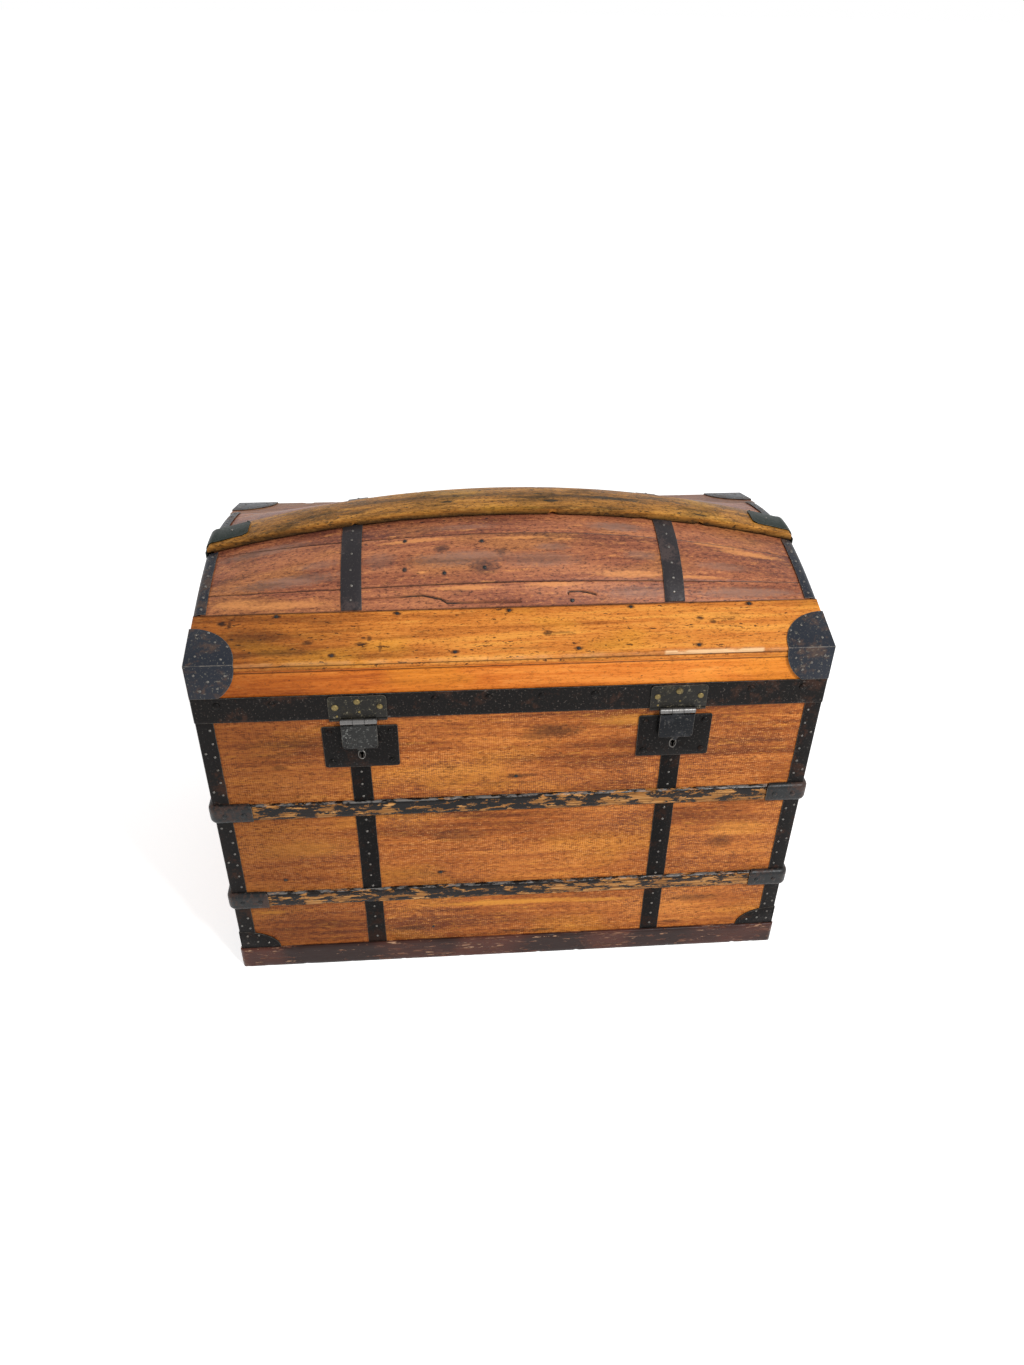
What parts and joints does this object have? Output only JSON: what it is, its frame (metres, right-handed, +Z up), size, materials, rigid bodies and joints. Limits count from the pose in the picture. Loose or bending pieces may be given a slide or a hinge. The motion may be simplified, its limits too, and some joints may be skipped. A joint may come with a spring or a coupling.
{
  "type": "dome top trunk",
  "caption": "Dome top travelling trunk: boarded box with wooden slats, iron corners and straps, locks with hinged hasps, drop handles and a bent-stave lid that swings on strap hinges.",
  "frame": {"origin": "on the floor under the middle of the trunk", "axes": "+X along the trunk to the right as seen from the front, +Y towards the hinges, +Z up"},
  "size_m": [0.85, 0.4889, 0.6712],
  "materials": {
    "board_wood": "amber varnished board with the weave print of an old canvas cover",
    "lid_wood": "amber varnished board with dark nicks and nail spots",
    "stave_wood": "reddish brown bent staves with dark stains",
    "ridge_wood": "olive and amber hardwood, blackened by age",
    "slat_wood": "black paint worn to the ochre wood",
    "rail_wood": "dark red-brown paint, chipped",
    "black_iron": "black sheet iron, lightly worn",
    "strap_iron": "black-brown strap iron",
    "rim_iron": "dark brown band iron, worn",
    "lock_iron": "dark lock plate, worn at its edges",
    "worn_iron": "black paint worn to grey metal",
    "bright_iron": "filed iron bolt"
  },
  "bodies": {
    "box": {"bottom_board": "board_wood", "front_panel": "board_wood", "back_panel": "board_wood", "left_panel": "board_wood", "right_panel": "board_wood", "base_rail_front": "rail_wood", "base_rail_back": "rail_wood", "base_rail_left": "rail_wood", "base_rail_right": "rail_wood", "lower_slat_front": "slat_wood", "lower_slat_back": "slat_wood", "lower_slat_left": "slat_wood", "lower_slat_right": "slat_wood", "upper_slat_front": "slat_wood", "upper_slat_back": "slat_wood", "upper_slat_left": "slat_wood", "upper_slat_right": "slat_wood", "corner_iron_front_left": "black_iron", "corner_iron_front_right": "black_iron", "corner_iron_back_left": "black_iron", "corner_iron_back_right": "black_iron", "front_strap_left": "strap_iron", "front_strap_right": "strap_iron", "lock_left": "lock_iron", "lock_right": "lock_iron", "handle_plate_left": "black_iron", "handle_plate_right": "black_iron", "hinge_left": "black_iron", "hinge_right": "black_iron"},
    "lock_bolt_left": {"lock_bolt_left": "bright_iron"},
    "lock_bolt_right": {"lock_bolt_right": "bright_iron"},
    "handle_left": {"handle_left": "black_iron"},
    "handle_right": {"handle_right": "black_iron"},
    "lid": {"lid_front_board": "lid_wood", "lid_back_board": "lid_wood", "lid_left_end": "lid_wood", "lid_right_end": "lid_wood", "stave_front_inner": "stave_wood", "stave_front_middle": "stave_wood", "stave_front_outer": "stave_wood", "stave_back_inner": "stave_wood", "stave_back_middle": "stave_wood", "stave_back_outer": "stave_wood", "shoulder_board_front": "lid_wood", "shoulder_board_back": "lid_wood", "ridge_slat": "ridge_wood", "lid_end_iron_left": "black_iron", "lid_end_iron_right": "black_iron", "lid_strap_left": "strap_iron", "lid_strap_right": "strap_iron", "lid_cap_front_left": "black_iron", "lid_cap_front_right": "black_iron", "lid_cap_back_left": "black_iron", "lid_cap_back_right": "black_iron", "rim_band": "rim_iron", "back_hinge_band": "rim_iron", "hasp_plate_left": "lock_iron", "hasp_plate_right": "lock_iron"},
    "hasp_left": {"hasp_left": "worn_iron"},
    "hasp_right": {"hasp_right": "worn_iron"}
  },
  "joints": [
    {"name": "lid_hinge", "type": "hinge", "parent": "box", "child": "lid", "pos_m": [0, 0.2393, 0.489], "axis": [-1, 0, 0], "range_deg": [0, 100]},
    {"name": "hasp_left_hinge", "type": "hinge", "parent": "lid", "child": "hasp_left", "pos_m": [-0.203, -0.2406, 0.4675], "axis": [-1, 0, 0], "range_deg": [0, 110]},
    {"name": "hasp_right_hinge", "type": "hinge", "parent": "lid", "child": "hasp_right", "pos_m": [0.215, -0.2406, 0.4675], "axis": [-1, 0, 0], "range_deg": [0, 110]},
    {"name": "handle_left_hinge", "type": "hinge", "parent": "box", "child": "handle_left", "pos_m": [-0.4185, 0, 0.246], "axis": [0, 1, 0], "range_deg": [0, 85]},
    {"name": "handle_right_hinge", "type": "hinge", "parent": "box", "child": "handle_right", "pos_m": [0.4185, 0, 0.246], "axis": [0, -1, 0], "range_deg": [0, 85]},
    {"name": "lock_bolt_left_slide", "type": "slide", "parent": "box", "child": "lock_bolt_left", "axis": [1, 0, 0], "range_m": [0, 0.006]},
    {"name": "lock_bolt_right_slide", "type": "slide", "parent": "box", "child": "lock_bolt_right", "axis": [1, 0, 0], "range_m": [0, 0.006]}
  ]
}
